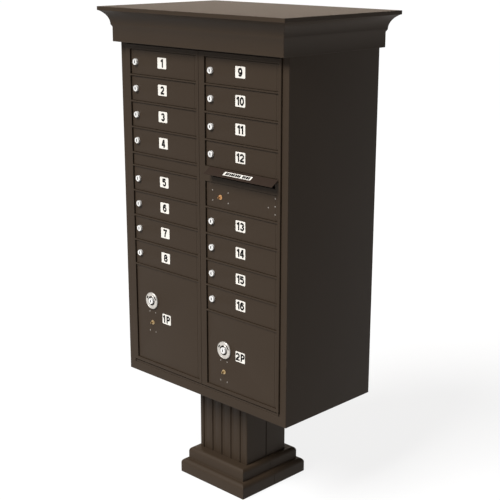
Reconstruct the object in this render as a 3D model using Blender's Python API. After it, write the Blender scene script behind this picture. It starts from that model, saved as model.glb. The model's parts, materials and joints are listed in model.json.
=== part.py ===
"""Cluster mailbox unit: sixteen tenant compartments, two parcel lockers and an outgoing mail slot.

A sheet-metal cabinet stands on a square post that a fluted two-piece column hides, with a stepped
base moulding below and a coved crown above. Two front-loading master doors carry all the small
doors: each master door swings on a rod at the cabinet's outer edge, and each small door swings on a
second rod at its own right-hand edge. Front faces -Y, Z is up, metres.
"""

import bpy
import bmesh
from math import cos, sin, pi
from mathutils import Vector

# ---------------------------------------------------------------- driving dimensions
CAB_W, CAB_D, CAB_H = 0.7771, 0.427, 1.2255      # cabinet outside
CAB_Z = 0.3545                                   # underside of the cabinet above the pad
FRONT_Y = -0.209                                 # front plane of the cabinet flange
WALL = 0.003                                     # cabinet sheet
FLANGE = 0.0261                                  # flange at each side of the front opening
SILL_LOW, SILL_HIGH = 0.04095, 0.04395           # flange below and above the front opening
UNIT = 0.0889                                    # height of one tenant row
FIELD = 0.0555                                   # cabinet underside to the lowest row line

MASTER_PROUD, MASTER_T = 0.005, 0.012            # master door in front of the flange, thickness
MASTER_W = 0.3597
SIDE_GAP, LOW_GAP, MID_GAP = 0.002, 0.005, 0.00075  # round each master door: sides and top, below, middle
STILE_L, STILE_R = 0.0265, 0.0105                # lock-side and hinge-side stiles
RAIL = 0.005                                     # rail between two rows
PIN_R, PIN_IN, PIN_BORE = 0.0022, 0.004, 0.0026  # master hinge rod, distance from the edges, bore

DOOR_IN, DOOR_W = 0.030, 0.314                   # master edge to door edge, door edge to its axis
WIDER = 0.0035                                   # the left column's doors reach this much further left
DOOR_T, DOOR_SKIN, DOOR_RIM = 0.009, 0.0025, 0.0015
DOOR_SET = 0.0035                                # small doors sit behind the master door's face
DOOR_GAP = 0.0012
ROD_R, ROD_BORE = 0.002, 0.0023

CYL_HEAD_R, CYL_R, CYL_HOLE = 0.0105, 0.0075, 0.0078
CYL_PROUD, CAM_Y, CAM_T = 0.008, 0.010, 0.002    # measured from the door's face
TENANT_LOCK_X, TENANT_CAM = 0.0245, 0.036        # lock from the door's left edge, cam length
PARCEL_LOCKS = {1: (0.0760, 0.1188), 2: (0.0789, 0.1211)}   # from a door's left edge and from its top
PARCEL_CAM = 0.088
CARRIER_X, CARRIER_Z, CARRIER_CAM = 0.0755, 0.2003, 0.024
OUT_LOCK_X, OUT_LOCK_Z = 0.0635, -0.0040
PLATE_R, PLATE_HOLE, PLATE_FACE = 0.0300, 0.0118, -0.0060  # round lock plate of the parcel doors

COL_X, COL_Y, COL_C = 0.118, 0.0983, -0.0142     # column half sizes and its centre line
GROOVES, GROOVE_W, GROOVE_PITCH, GROOVE_D = 5, 0.0188, 0.0461, 0.0035
BASE, TIER = 0.159, 0.1385                       # half widths of the base moulding's two tiers
PLATE_TOP = 0.010                                # thickness of the post's foot plate
CROWN_X, CROWN_Y, CROWN_Z = 0.394, 0.2405, 1.541  # fascia half sizes and its lower edge
CAP_SEAT = 0.016                                 # the cap panel lies this far inside the lip
SLOT_X0, SLOT_X1 = 0.062, 0.338                  # mail slot from the master door's left edge
SLOT_LOW, SLOT_HIGH = 0.0285, 0.0075             # mail slot below the row line above it
HOOD_OUT, HOOD_DROP = 0.0290, 0.0185             # how far the mail hood stands out and down
GAP = 0.0003                                     # between pieces that touch
REACH = 0.01                                     # how far a cutter stands out of what it cuts

# ---------------------------------------------------------------- derived levels
BACK_Y = FRONT_Y + CAB_D
CAB_TOP = CAB_Z + CAB_H
OPEN_X = CAB_W / 2 - FLANGE
OPEN_Z0, OPEN_Z1 = CAB_Z + SILL_LOW, CAB_TOP - SILL_HIGH
MASTER_Z0, MASTER_Z1 = OPEN_Z0 + LOW_GAP, OPEN_Z1 - SIDE_GAP
MASTER_Y = FRONT_Y - MASTER_PROUD                # face of the master doors
MASTER_BACK = MASTER_Y + MASTER_T
DOOR_Y = MASTER_Y + DOOR_SET                     # face of the small doors
AXIS_Y = DOOR_Y + DOOR_T / 2                     # hinge axis of the small doors
FIELD_Z = CAB_Z + FIELD
RACK_Y0, RACK_Y1 = FRONT_Y + 0.015, BACK_Y - WALL - GAP
SHEET = 0.0015

# rows from the bottom up, in units: parcel locker, four tenants, blank or outgoing, four tenants
LEFT_ROWS = [4, 1, 1, 1, 1, 0.5, 1, 1, 1, 1]
RIGHT_ROWS = [3, 1, 1, 1, 1, 1, 0.5, 1, 1, 1, 1]
RIGHT_CELLS = [3, 1, 1, 1, 1, 1.5, 1, 1, 1, 1]   # the slot row opens into the outgoing compartment
OUT_ROW, SLOT_ROW, BLANK_ROW = 5, 6, 5


# ---------------------------------------------------------------- materials
def paint(name, colour, metallic, roughness):
    mat = bpy.data.materials.new(name)
    mat.use_nodes = True
    shader = mat.node_tree.nodes["Principled BSDF"]
    shader.inputs["Base Color"].default_value = (*colour, 1)
    shader.inputs["Metallic"].default_value = metallic
    shader.inputs["Roughness"].default_value = roughness
    mat.diffuse_color = (*colour, 1)
    return mat


# ---------------------------------------------------------------- mesh helpers
def finish(bm, name):
    bmesh.ops.recalc_face_normals(bm, faces=bm.faces)
    mesh = bpy.data.meshes.new(name)
    bm.to_mesh(mesh)
    bm.free()
    return mesh


def add_box(bm, x0, x1, y0, y1, z0, z1):
    floor = ((x0, y0), (x1, y0), (x1, y1), (x0, y1))
    corners = [bm.verts.new((x, y, z)) for z in (z0, z1) for x, y in floor]
    for a, b, c, d in ((3, 2, 1, 0), (4, 5, 6, 7), (0, 1, 5, 4), (1, 2, 6, 5), (2, 3, 7, 6), (3, 0, 4, 7)):
        bm.faces.new([corners[i] for i in (a, b, c, d)])


def box_mesh(name, boxes):
    bm = bmesh.new()
    for box in boxes:
        add_box(bm, *box)
    return finish(bm, name)


def prism(name, outline, axis, low, high):
    """Extrudes a closed 2-D outline along X (points are y, z) or Z (points are x, y)."""
    def at(p, t):
        return (t, p[0], p[1]) if axis == "X" else (p[0], p[1], t)
    bm = bmesh.new()
    a = [bm.verts.new(at(p, low)) for p in outline]
    b = [bm.verts.new(at(p, high)) for p in outline]
    bm.faces.new(a)
    bm.faces.new(b)
    for i in range(len(outline)):
        j = (i + 1) % len(outline)
        bm.faces.new((a[i], a[j], b[j], b[i]))
    return finish(bm, name)


def skin(name, sections, closed_path):
    """Joins equal sections (lists of points round a closed profile) into one solid."""
    bm = bmesh.new()
    rows = [[bm.verts.new(p) for p in section] for section in sections]
    count = len(rows[0])
    for k in range(len(rows) if closed_path else len(rows) - 1):
        a, b = rows[k], rows[(k + 1) % len(rows)]
        for i in range(count):
            j = (i + 1) % count
            bm.faces.new((a[i], a[j], b[j], b[i]))
    if not closed_path:
        bm.faces.new(rows[0])
        bm.faces.new(rows[-1])
    return finish(bm, name)


def square_ring(name, profile):
    """Mitred frame: every profile point is (half x, half y, z)."""
    corners = ((-1, -1), (1, -1), (1, 1), (-1, 1))
    return skin(name, [[(sx * hx, sy * hy, z) for hx, hy, z in profile] for sx, sy in corners], True)


def half_ring(name, profile, side):
    """The front (side -1) or rear (side 1) half of a mitred frame, cut on its centre plane."""
    ends = ((-1, 0), (-1, 1), (1, 1), (1, 0))
    sections = [[(sx * hx, side * (hy if full else GAP), z) for hx, hy, z in profile] for sx, full in ends]
    return skin(name, sections, False)


def lathe(name, profile, segments, axis):
    """Turns (radius, height) points round Z or Y; both ends close on the axis."""
    bm = bmesh.new()
    rings = []
    for r, h in profile:
        ring = []
        for k in range(segments):
            a = 2 * pi * k / segments
            p = (r * cos(a), r * sin(a), h) if axis == "Z" else (r * cos(a), h, r * sin(a))
            ring.append(bm.verts.new(p))
        rings.append(ring)
    for a, b in zip(rings, rings[1:]):
        for k in range(segments):
            j = (k + 1) % segments
            bm.faces.new((a[k], a[j], b[j], b[k]))
    bm.faces.new(rings[0])
    bm.faces.new(rings[-1])
    return finish(bm, name)


def rounded(mesh, angle=0.6):
    mesh.shade_smooth()
    mesh.set_sharp_from_angle(angle=angle)
    return mesh


def combined(name, mesh, steps):
    """Runs Boolean steps [(operation, mesh)] on a mesh and returns the resulting mesh."""
    work = bpy.data.objects.new(name, mesh)
    bpy.context.scene.collection.objects.link(work)
    tools = []
    for operation, tool_mesh in steps:
        tool = bpy.data.objects.new(name + "_tool", tool_mesh)
        bpy.context.scene.collection.objects.link(tool)
        mod = work.modifiers.new(operation.title(), "BOOLEAN")
        mod.operation, mod.solver, mod.object = operation, "EXACT", tool
        tools.append(tool)
    graph = bpy.context.evaluated_depsgraph_get()
    result = bpy.data.meshes.new_from_object(work.evaluated_get(graph))
    for spent in tools + [work]:
        bpy.data.objects.remove(spent)
    return result


ORIGINS = {}


def place(name, mesh, mat, origin=(0, 0, 0), parent=None, world_mesh=True):
    """Adds a node whose origin is at a world point; world_mesh shifts a mesh drawn in world space."""
    origin = Vector(origin)
    if world_mesh:
        for v in mesh.vertices:
            v.co -= origin
    if not mesh.materials:
        mesh.materials.append(mat)
    node = bpy.data.objects.new(name, mesh)
    bpy.context.scene.collection.objects.link(node)
    ORIGINS[name] = origin
    node.parent = parent
    node.location = origin - (ORIGINS[parent.name] if parent else Vector())
    return node


# ---------------------------------------------------------------- pedestal
def arc(cx, cz, rx, rz, a0, a1, count):
    """Points (offset, z) of an elliptic arc between two angles in degrees."""
    return [(cx + rx * cos((a0 + (a1 - a0) * k / count) * pi / 180),
             cz + rz * sin((a0 + (a1 - a0) * k / count) * pi / 180)) for k in range(count + 1)]


def make_post(steel):
    tube, bore, head = 0.0508, 0.0468, 0.086
    top = CAB_Z - GAP
    outline = [(0.125, 0), (0.125, PLATE_TOP), (tube, PLATE_TOP), (tube, top - 0.006),
               (head, top - 0.006), (head, top), (bore, top), (bore, 0)]
    mesh = square_ring("pedestal_post", [(o, o, z) for o, z in outline])
    return place("pedestal_post", mesh, steel, (0, COL_C, 0), None, False)


def make_column(side, parent, mat):
    first = -(GROOVES - 1) / 2 * GROOVE_PITCH
    face, skin_y = COL_Y, COL_Y - 0.0065
    outline = [(-COL_X, GAP), (-COL_X, face)]
    for k in range(GROOVES):
        c = first + k * GROOVE_PITCH
        outline += [(c - GROOVE_W / 2, face), (c - GROOVE_W / 2, face - GROOVE_D),
                    (c + GROOVE_W / 2, face - GROOVE_D), (c + GROOVE_W / 2, face)]
    outline += [(COL_X, face), (COL_X, GAP), (COL_X - 0.003, GAP), (COL_X - 0.003, skin_y),
                (-COL_X + 0.003, skin_y), (-COL_X + 0.003, GAP)]
    name = "column_cover_front" if side < 0 else "column_cover_rear"
    mesh = prism(name, [(x, side * y) for x, y in outline], "Z", PLATE_TOP + GAP, CAB_Z - GAP)
    return place(name, mesh, mat, (0, COL_C, 0), parent, False)


def make_base(side, parent, mat):
    low_z, low_top, up_top, top = 0.0350, 0.0525, 0.0805, 0.0965
    outer = [(BASE, 0.0)] + arc(TIER + 0.001, low_z, BASE - TIER - 0.001, low_top - low_z, 0, 80, 5)
    outer += [(TIER, low_top + 0.0003)] + arc(TIER - 0.015, up_top, 0.015, top - up_top, 0, 90, 5)
    profile = [(o, o, z) for o, z in outer]
    profile += [(COL_X + 0.0005, COL_Y + 0.0005, top), (COL_X + 0.0005, COL_Y + 0.0005, top - 0.006),
                (TIER - 0.004, TIER - 0.004, top - 0.020), (TIER - 0.004, TIER - 0.004, 0.030),
                (BASE - 0.004, BASE - 0.004, 0.026), (BASE - 0.004, BASE - 0.004, 0.0)]
    name = "base_moulding_front" if side < 0 else "base_moulding_rear"
    mesh = rounded(half_ring(name, profile, side), 0.5)
    return place(name, mesh, mat, (0, COL_C, 0), parent, False)


# ---------------------------------------------------------------- cabinet
def make_shell(parent, mat):
    half = CAB_W / 2

    def rect(hx, z0, z1, y):
        return [(-hx, y, z0), (hx, y, z0), (hx, y, z1), (-hx, y, z1)]
    inner = half - WALL
    loops = [rect(half, CAB_Z, CAB_TOP, BACK_Y), rect(half, CAB_Z, CAB_TOP, FRONT_Y),
             rect(OPEN_X, OPEN_Z0, OPEN_Z1, FRONT_Y), rect(OPEN_X, OPEN_Z0, OPEN_Z1, FRONT_Y + WALL),
             rect(inner, CAB_Z + WALL, CAB_TOP - WALL, FRONT_Y + WALL),
             rect(inner, CAB_Z + WALL, CAB_TOP - WALL, BACK_Y - WALL)]
    return place("cabinet_shell", skin("cabinet_shell", loops, False), mat, (0, 0, CAB_Z), parent)


def levels(rows):
    out = [FIELD_Z]
    for units in rows:
        out.append(out[-1] + units * UNIT)
    return out


def make_rack(side, x_left, wider, rows, parent, mat):
    """Side sheets on the cabinet floor with a shelf at every row line."""
    x0, x1 = x_left + STILE_L - wider - 0.0005, x_left + MASTER_W - STILE_R + 0.0003
    floor = CAB_Z + WALL + GAP
    lines = levels(rows)
    cells = [(floor - REACH, lines[0] - SHEET)] + [(a, b - SHEET) for a, b in zip(lines, lines[1:])]
    block = box_mesh("rack", [(x0, x1, RACK_Y0, RACK_Y1, floor, lines[-1])])
    cuts = box_mesh("cells", [(x0 + SHEET, x1 - SHEET, RACK_Y0 - REACH, RACK_Y1 + REACH, a, b)
                              for a, b in cells])
    name = "rack_" + side
    return place(name, combined(name, block, [("DIFFERENCE", cuts)]), mat, (0, 0, CAB_Z), parent)


def make_crown(parent, mat):
    """Flat fascia, short slope and a wide cove that carries a square lip."""
    x, y, z = CROWN_X, CROWN_Y, CROWN_Z
    lip, top, cove = 0.0355, z + 0.1162, 0.0517
    outer = [(0, z), (0, z + 0.0490)] + arc(cove + 0.0046, z + 0.0570, cove, cove, 180, 116, 8)
    outer += [(lip, top - 0.0130), (lip, top)]
    seat = lip - CAP_SEAT
    inner = [(seat, top), (seat, top - 0.0035), (seat - 0.008, top - 0.0035),
             (seat - 0.014, top - 0.019), (-0.004, z + 0.060),
             (-0.004, CAB_TOP + 0.0045), (-0.070, CAB_TOP + 0.0045),
             (-0.070, CAB_TOP + GAP), (-0.004, CAB_TOP + GAP), (-0.004, z)]
    mesh = rounded(square_ring("crown_moulding", [(x + o, y + o, h) for o, h in outer + inner]), 0.5)
    place("crown_moulding", mesh, mat, (0, 0, CAB_TOP), parent)
    edge = seat - GAP
    panel = box_mesh("cap_panel", [(-x - edge, x + edge, -y - edge, y + edge, top - 0.0032, top)])
    place("cap_panel", panel, mat, (0, 0, top), parent)


# ---------------------------------------------------------------- master doors
def make_hinge_rod(side, x, parent, mat):
    """Rod that a master door turns on; its end knuckles are cut flat where they lie on the flange."""
    knuckle, low, high = PIN_IN - GAP, MASTER_Z0 - 0.0006, MASTER_Z1 + 0.0006
    profile = [(knuckle, low - 0.0125), (knuckle, low), (PIN_R, low), (PIN_R, high),
               (knuckle, high), (knuckle, high + 0.006)]
    y = MASTER_Y + PIN_IN
    flat, past = FRONT_Y - GAP - y, GAP * 2
    flats = box_mesh("flats", [(-REACH, REACH, flat, REACH, a, b) for a, b in
                               ((OPEN_Z0 - 2 * REACH, OPEN_Z0 + past), (OPEN_Z1 - past, OPEN_Z1 + REACH))])
    mesh = combined("hinge_rod", lathe("hinge_rod", profile, 16, "Z"), [("DIFFERENCE", flats)])
    return place("hinge_rod_" + side, rounded(mesh), mat, (x, y, 0), parent, False)


def rod_tool(x, y, r, z0, z1, segments=16):
    mesh = lathe("bore", [(r, z0), (r, z1)], segments, "Z")
    for v in mesh.vertices:
        v.co += Vector((x, y, 0))
    return mesh


def make_master(side, x_left, wider, rows, pin_x, closed_row, parent, mat):
    """Frame of stiles and rails; closed_row is a row that the frame itself closes, with a slot."""
    lines = levels(rows)
    frame = box_mesh("frame", [(x_left, x_left + MASTER_W, MASTER_Y, MASTER_BACK, MASTER_Z0, MASTER_Z1)])
    y0, y1 = MASTER_Y - REACH, MASTER_BACK + REACH
    cells = []
    for k, (a, b) in enumerate(zip(lines, lines[1:])):
        if k == closed_row:
            cells.append((x_left + SLOT_X0, x_left + SLOT_X1, y0, y1, b - SLOT_LOW, b - SLOT_HIGH))
        else:
            cells.append((x_left + STILE_L - wider, x_left + MASTER_W - STILE_R, y0, y1,
                          a + RAIL / 2, b - RAIL / 2))
    z0, z1 = MASTER_Z0 - REACH, MASTER_Z1 + REACH
    steps = [("DIFFERENCE", box_mesh("cells", cells)),
             ("DIFFERENCE", rod_tool(x_left + DOOR_IN + DOOR_W, AXIS_Y, ROD_BORE, z0, z1)),
             ("DIFFERENCE", rod_tool(pin_x, MASTER_Y + PIN_IN, PIN_BORE, z0, z1))]
    name = "master_door_" + side
    return place(name, combined(name, frame, steps), mat, (pin_x, MASTER_Y + PIN_IN, MASTER_Z0), parent)


def make_door_rod(side, x_left, parent, steel):
    x = x_left + DOOR_IN + DOOR_W
    mesh = rounded(lathe("door_rod", [(ROD_R, MASTER_Z0 + 0.0006), (ROD_R, MASTER_Z1 - 0.0006)], 12, "Z"))
    return place("door_rod_" + side, mesh, steel, (x, AXIS_Y, 0), parent, False)


# ---------------------------------------------------------------- small doors
def door_mesh(name, width, height, holes):
    """Pan with a rolled hinge edge round its own origin; holes are (x from the axis, z, radius)."""
    r = DOOR_T / 2
    outline = [(-width, -r)] + arc(0, 0, r, r, -90, 90, 10) + [(-width, r)]
    slab = prism(name, outline, "Z", -height / 2, height / 2)
    pocket = box_mesh("pocket", [(-width + DOOR_RIM, -r - 0.001, -r + DOOR_SKIN, r + 0.01,
                                  -height / 2 + DOOR_RIM, height / 2 - DOOR_RIM)])
    steps = [("DIFFERENCE", pocket), ("DIFFERENCE", rod_tool(0, 0, ROD_BORE, -height, height, 12))]
    for x, z, radius in holes:
        hole = lathe("hole", [(radius, -0.02), (radius, 0.02)], 16, "Y")
        for v in hole.vertices:
            v.co += Vector((x, 0, z))
        steps.append(("DIFFERENCE", hole))
    return rounded(combined(name, slab, steps), 0.5)


def lock_mesh(name, head_r, body_r, proud, cam, cam_w, segments=16):
    """Cylinder on the door's face (local y 0 is the face) with a keyway, and a cam pointing down."""
    edge = min(0.0012, proud * 0.4)
    profile = [(head_r - edge, -proud), (head_r, -proud + edge), (head_r, -GAP), (body_r, -GAP),
               (body_r, CAM_Y + CAM_T + 0.0015)]
    if head_r <= body_r + 1e-6:
        profile = [(head_r - edge, -proud), (head_r, -proud + edge), (body_r, CAM_Y + CAM_T + 0.0015)]
    body = lathe(name, profile, segments, "Y")
    half = cam_w / 2
    blade = [(-half, 0), (half, 0)] + arc(0, half - cam, half, half, 0, -180, 6)
    bm = bmesh.new()
    a = [bm.verts.new((x, CAM_Y, z)) for x, z in blade]
    b = [bm.verts.new((x, CAM_Y + CAM_T, z)) for x, z in blade]
    bm.faces.new(a)
    bm.faces.new(b)
    for i in range(len(blade)):
        j = (i + 1) % len(blade)
        bm.faces.new((a[i], a[j], b[j], b[i]))
    key = box_mesh("key", [(-0.0009, 0.0009, -proud - 0.01, -proud + 0.0035, -0.0045, 0.0045)])
    return rounded(combined(name, body, [("UNION", finish(bm, "cam")), ("DIFFERENCE", key)]))


def add_door(name, mesh, x_left, z_mid, master, mat):
    return place(name, mesh, mat, (x_left + DOOR_IN + DOOR_W, AXIS_Y, z_mid), master, False)


def add_lock(name, mesh, door, x, z, mat):
    at = ORIGINS[door.name] + Vector((x, DOOR_Y - AXIS_Y, z))
    return place(name, mesh, mat, at, door, False)


def make_parcel(number, x_left, width, z0, z1, master, mats):
    height = z1 - z0 - RAIL - 2 * DOOR_GAP
    lock_in, lock_down = PARCEL_LOCKS[number]
    lock_x, carrier_x = lock_in - DOOR_W, CARRIER_X - DOOR_W
    lock_z, carrier_z = height / 2 - lock_down, height / 2 - CARRIER_Z
    holes = [(lock_x, lock_z, PLATE_HOLE), (carrier_x, carrier_z, CYL_HOLE)]
    mesh = door_mesh("parcel_door", width, height, holes)
    door = add_door("parcel_door_%d" % number, mesh, x_left, (z0 + z1) / 2, master, mats["bronze"])
    profile = [(PLATE_HOLE, -GAP), (PLATE_R, -GAP), (PLATE_R, -0.0035), (PLATE_R - 0.0030, PLATE_FACE),
               (PLATE_HOLE, PLATE_FACE)]
    turns = [(cos(2 * pi * k / 24), sin(2 * pi * k / 24)) for k in range(24)]
    plate = rounded(skin("lock_plate", [[(r * c, h, r * s) for r, h in profile] for c, s in turns], True))
    add_lock("lock_plate_%d" % number, plate, door, lock_x, lock_z, mats["chrome"])
    customer = lock_mesh("parcel_lock", 0.0112, 0.0112, 0.0100, PARCEL_CAM, 0.014, 20)
    for v in customer.vertices:                  # this cam rests pointing up, clear of the lower lock
        v.co.z = -v.co.z
    customer.flip_normals()
    add_lock("parcel_lock_%d" % number, customer, door, lock_x, lock_z, mats["chrome"])
    carrier = lock_mesh("carrier_lock", 0.0075, 0.0075, 0.0012, CARRIER_CAM, 0.010)
    add_lock("carrier_lock_%d" % number, carrier, door, carrier_x, carrier_z, mats["brass"])


def make_column_of_doors(x_left, width, rows, first_number, parcel, master, mats, lock):
    """Numbers run down the column, so the highest row carries first_number."""
    lines = levels(rows)
    make_parcel(parcel, x_left, width, lines[0], lines[1], master, mats)
    lock_x = TENANT_LOCK_X - width
    tenant = door_mesh("tenant_door", width, UNIT - RAIL - 2 * DOOR_GAP, [(lock_x, 0, CYL_HOLE)])
    number = first_number
    for k in range(len(rows) - 1, 0, -1):
        mid = (lines[k] + lines[k + 1]) / 2
        if rows[k] != 1 or (parcel == 2 and k == OUT_ROW):
            continue
        door = add_door("tenant_door_%02d" % number, tenant, x_left, mid, master, mats["bronze"])
        add_lock("tenant_lock_%02d" % number, lock, door, lock_x, 0, mats["chrome"])
        number += 1


def make_blank(x_left, wider, z0, z1, master, mat):
    """Filler between two rows: a front sheet as wide as a door, on a block with a wider rear sheet."""
    inset, skin_t = RAIL / 2 + DOOR_GAP, 0.0020
    x0, x1 = x_left + DOOR_IN - wider, x_left + DOOR_IN + DOOR_W
    rear = MASTER_BACK + GAP
    front = box_mesh("blank", [(x0, x1 + DOOR_T / 2, DOOR_Y, DOOR_Y + skin_t, z0 + inset, z1 - inset)])
    block = box_mesh("block", [(x0 + GAP, x1 - 0.004, DOOR_Y + skin_t / 2, rear + 0.0008,
                                z0 + inset + GAP, z1 - inset - GAP)])
    back = box_mesh("sheet", [(x0 - 0.008, x1 - 0.005, rear, rear + 0.0012, z0 + GAP, z1 - GAP)])
    place("blank_panel", combined("blank_panel", front, [("UNION", block), ("UNION", back)]), mat,
          (x_left, DOOR_Y, z0), master)


def make_hood(x_left, top, master, mat):
    """Sloping rain hood with a short flange on the panel above the mail slot."""
    y0 = MASTER_Y - GAP
    outline = [(0, 0), (-HOOD_OUT, -HOOD_DROP), (0.0010 - HOOD_OUT, -HOOD_DROP - 0.0011),
               (-0.0015, -0.0033), (-0.0015, -0.0095), (0, -0.0095)]
    mesh = prism("mail_hood", [(y0 + y, top + z) for y, z in outline], "X", x_left + 0.049, x_left + 0.3515)
    place("mail_hood", mesh, mat, (x_left + 0.2, y0, top), master)


# ---------------------------------------------------------------- assembly
def main():
    for old in list(bpy.data.objects):
        bpy.data.objects.remove(old)
    mats = {"bronze": paint("bronze_paint", (0.062, 0.049, 0.036), 0.25, 0.48),
            "steel": paint("galvanised_steel", (0.35, 0.35, 0.34), 0.9, 0.45),
            "chrome": paint("chrome", (0.80, 0.78, 0.75), 1.0, 0.22),
            "brass": paint("brass", (0.55, 0.36, 0.16), 1.0, 0.35)}
    bronze, steel = mats["bronze"], mats["steel"]

    post = make_post(steel)
    for side in (-1, 1):
        make_column(side, post, bronze)
        make_base(side, post, bronze)
    shell = make_shell(post, bronze)
    make_crown(shell, bronze)

    left, right = -MID_GAP - MASTER_W, MID_GAP
    pin_left, pin_right = left + PIN_IN, right + MASTER_W - PIN_IN
    lock = lock_mesh("tenant_lock", CYL_HEAD_R, CYL_R, CYL_PROUD, TENANT_CAM, 0.012)
    sides = (("left", left, WIDER, LEFT_ROWS, LEFT_ROWS, pin_left, None, 1),
             ("right", right, 0, RIGHT_ROWS, RIGHT_CELLS, pin_right, SLOT_ROW, 9))
    for parcel, (side, x, wider, rows, cells, pin, closed, first) in enumerate(sides, 1):
        make_rack(side, x, wider, cells, shell, steel)
        make_hinge_rod(side, pin, shell, bronze)
        master = make_master(side, x, wider, rows, pin, closed, shell, bronze)
        make_door_rod(side, x, master, steel)
        make_column_of_doors(x, DOOR_W + wider, rows, first, parcel, master, mats, lock)
        lines = levels(rows)
        if side == "left":
            make_blank(x, wider, lines[BLANK_ROW], lines[BLANK_ROW + 1], master, bronze)
        else:
            hole = (OUT_LOCK_X - DOOR_W, OUT_LOCK_Z, CYL_HOLE)
            door = door_mesh("outgoing_door", DOOR_W, UNIT - RAIL - 2 * DOOR_GAP, [hole])
            mid = (lines[OUT_ROW] + lines[OUT_ROW + 1]) / 2
            door = add_door("outgoing_door", door, x, mid, master, bronze)
            carrier = lock_mesh("carrier_lock", 0.0075, 0.0075, 0.0012, CARRIER_CAM, 0.010)
            add_lock("carrier_lock_3", carrier, door, OUT_LOCK_X - DOOR_W, OUT_LOCK_Z, mats["brass"])
            make_hood(x, lines[SLOT_ROW + 1] + RAIL / 2, master, bronze)


main()
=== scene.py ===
"""Looks of the cluster mailbox unit: rounded sheet metal, locks, labels and fasteners round the CAD frame."""

import json
from math import cos, radians, sin, tau

import bmesh
import bpy
from mathutils import Matrix, Vector

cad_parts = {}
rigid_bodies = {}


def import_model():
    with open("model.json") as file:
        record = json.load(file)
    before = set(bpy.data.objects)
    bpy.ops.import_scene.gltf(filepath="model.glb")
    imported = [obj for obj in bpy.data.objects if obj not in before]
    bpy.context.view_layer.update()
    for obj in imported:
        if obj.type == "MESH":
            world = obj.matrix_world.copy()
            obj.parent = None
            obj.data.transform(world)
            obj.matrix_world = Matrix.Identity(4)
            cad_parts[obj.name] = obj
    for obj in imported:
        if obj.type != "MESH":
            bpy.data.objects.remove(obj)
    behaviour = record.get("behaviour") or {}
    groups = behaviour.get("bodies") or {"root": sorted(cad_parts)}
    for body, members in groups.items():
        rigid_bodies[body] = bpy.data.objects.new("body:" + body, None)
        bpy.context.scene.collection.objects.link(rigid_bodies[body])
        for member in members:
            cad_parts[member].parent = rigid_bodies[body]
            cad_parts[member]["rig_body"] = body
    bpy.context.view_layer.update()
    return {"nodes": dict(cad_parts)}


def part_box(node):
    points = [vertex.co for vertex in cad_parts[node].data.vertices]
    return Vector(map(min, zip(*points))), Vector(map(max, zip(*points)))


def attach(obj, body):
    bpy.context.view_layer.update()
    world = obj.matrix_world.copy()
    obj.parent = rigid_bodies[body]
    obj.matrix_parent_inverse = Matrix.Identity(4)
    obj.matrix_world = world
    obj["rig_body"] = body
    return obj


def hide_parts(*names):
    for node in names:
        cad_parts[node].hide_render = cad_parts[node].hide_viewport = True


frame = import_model()
NODES = frame["nodes"]

# ---------------------------------------------------------------- sizes, metres
EDGE = 0.0007                                    # rounding of a folded sheet edge
TOUCH = 0.0003                                   # gap between pieces that touch
PAST = 0.01                                      # how far a cutter stands out of what it cuts
WALL = 0.003                                     # cabinet and column sheet
SKIN, RIM = 0.0025, 0.0015                       # small doors: front sheet and side returns
STILE_GAP, ROW_GAP = 0.0035, 0.0012              # small door to its lock stile, and to the rails
STILE_R, RAIL = 0.0105, 0.005                    # hinge stile, rail between two rows
SIDE_GAP, LOW_GAP, TOP_GAP = 0.002, 0.005, 0.0003    # beside, below and above the master doors
PIN_R, PIN_BORE, ROD_BORE = 0.0022, 0.0026, 0.0023   # master hinge pin, its bore, bore of the doors' rods
ROW_NODES = ("tenant_door", "parcel_door", "outgoing_door")

LABEL_W, LABEL_H, LABEL_T, LABEL_R = 0.0430, 0.0360, 0.0004, 0.0028
LABEL_UP = 0.0038                                # label centre above the door's centre
LABEL_X = {"left": 0.1553, "right": 0.1549}      # label centre from the door's left edge
PARCEL_LABEL = (-0.0020, -0.0022)                # how far the parcel labels sit from there
DIGIT_H, DIGIT_T, DIGIT_PEN = 0.0276, 0.0001, 0.23   # height, thickness, pen width as a share of the height
DIGIT_W, ONE_W, P_W = 0.70, 0.44, 0.67           # glyph widths, shares of the height
DIGIT_SPACE = 0.075                              # space between glyphs, a share of the height
PARCEL_SPACE = {"1P": 0.24, "2P": 0.13}
PARCEL_SHIFT = {"1P": -0.0010, "2P": 0.0}        # how far the number sits from the label's centre

# locks: head, neck and ring are radii, proud is how far the head stands out of the door
TENANT_LOCK = dict(head=0.0105, neck=0.0075, ring=0.0076, proud=0.0080,
                   cam=(0.036, 0.012), key=(0.0050, 0.0108))
PARCEL_LOCK = dict(head=0.0112, neck=0.0110, ring=0.0078, proud=0.0100,
                   cam=(0.088, 0.014), key=(0.0050, 0.0112))
CARRIER_LOCK = dict(head=0.0082, neck=0.0075, ring=0.0052, proud=0.0012,
                    cam=(0.024, 0.010), key=(0.0016, 0.0070))
LOCK_HOLE = 0.0078                               # hole for a tenant or carrier lock
CARRIER_AXIS_DOWN = 0.0075                       # carrier lock's axis below the top of its box
PLATE_R, PLATE_HOLE, PLATE_WELL, PLATE_FACE = 0.0300, 0.0118, 0.0166, -0.0060   # radii, and level of the face
SLOT_IN, SLOT_OUT = 0.0208, 0.0256               # radii of the slots in a lock plate
NUT_R, NUT_HOLE, NUT_T, NUT_GAP = 0.0102, 0.0077, 0.003, 0.0002
RIVET_R, RIVET_RISE = 0.0024, 0.0006             # rivet head radius and height


# ---------------------------------------------------------------- materials
def nodes_of(mat):
    mat.use_nodes = True
    tree = mat.node_tree
    return tree, tree.nodes["Principled BSDF"]


def noise(tree, vector, scale, detail):
    node = tree.nodes.new("ShaderNodeTexNoise")
    node.inputs["Scale"].default_value = scale
    node.inputs["Detail"].default_value = detail
    tree.links.new(vector, node.inputs["Vector"])
    return node.outputs["Fac"]


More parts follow.
